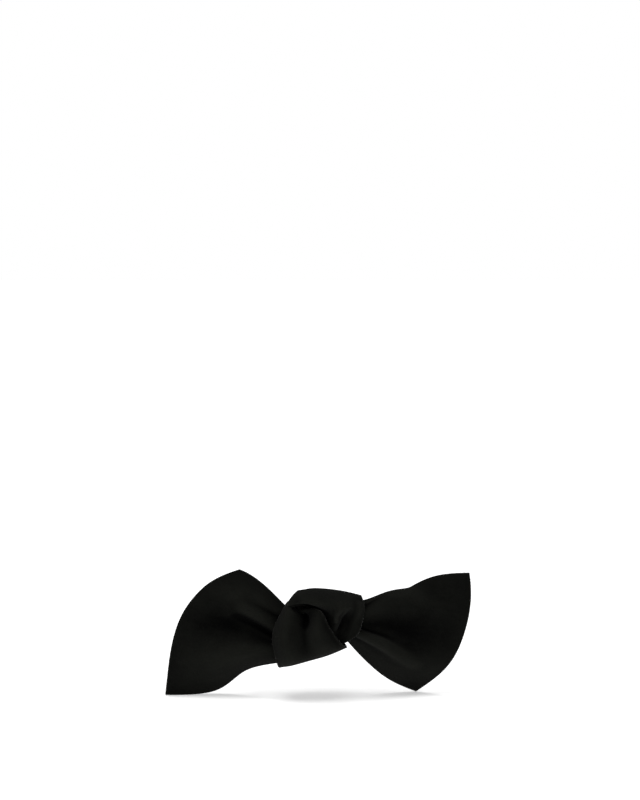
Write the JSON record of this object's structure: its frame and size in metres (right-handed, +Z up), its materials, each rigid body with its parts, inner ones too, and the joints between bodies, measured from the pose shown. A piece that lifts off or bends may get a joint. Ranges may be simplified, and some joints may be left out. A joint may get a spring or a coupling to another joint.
{
  "type": "knotted hair bow on a spring clip",
  "caption": "Short flared bow tied in one overhand knot from a band of dark napped cloth, sewn to a sprung metal hair clip.",
  "frame": {"origin": "on the surface that the bow stands on, under the middle of its bounding box", "axes": "+X along the bow and the clip, from the hinge end to the catch end, +Y from the bow's face to the clip behind it, +Z up"},
  "size_m": [0.1148, 0.0322, 0.048],
  "materials": {
    "face_cloth": "napped microsuede, matt, with a faint sheen along the folds",
    "backing_cloth": "napped microsuede, matt",
    "glue": "set hot-melt glue, satin",
    "felt": "pressed felt, matt",
    "plated_steel": "bright nickel plate",
    "spring_steel": "satin spring steel",
    "thread": "twisted polyester thread"
  },
  "bodies": {
    "bow": {"band_face": "face_cloth", "band_backing": "backing_cloth", "glue_bed": "glue", "felt_pad": "felt", "base_plate": "plated_steel", "hinge_pin": "plated_steel", "catch_foot": "spring_steel", "catch_rivet": "plated_steel", "lashing_left": "thread", "lashing_right": "thread"},
    "arm": {"clasp_arm": "plated_steel"},
    "bar": {"tension_bar": "spring_steel"},
    "upper_prong": {"prong_upper": "spring_steel"},
    "lower_prong": {"prong_lower": "spring_steel"}
  },
  "joints": [
    {"name": "clasp_hinge", "type": "hinge", "parent": "bow", "child": "arm", "pos_m": [-0.028, 0.00765, 0.0276], "axis": [0, 0, 1], "range_deg": [0, 75]},
    {"name": "tension_bar_swing", "type": "hinge", "parent": "bow", "child": "bar", "pos_m": [-0.028, 0.00765, 0.0276], "axis": [0, 0, 1], "range_deg": [0, 24]},
    {"name": "prong_upper_flex", "type": "hinge", "parent": "bow", "child": "upper_prong", "pos_m": [0.0266, 0.00655, 0.02935], "axis": [-1, 0, 0], "range_deg": [0, 6], "stiffness_Nm_per_rad": 0.02},
    {"name": "prong_lower_flex", "type": "hinge", "parent": "bow", "child": "lower_prong", "pos_m": [0.0266, 0.00655, 0.02585], "axis": [1, 0, 0], "range_deg": [0, 6], "stiffness_Nm_per_rad": 0.02}
  ],
  "couplings": [
    {"joint": "tension_bar_swing", "follows": "clasp_hinge", "ratio": 0.3}
  ]
}
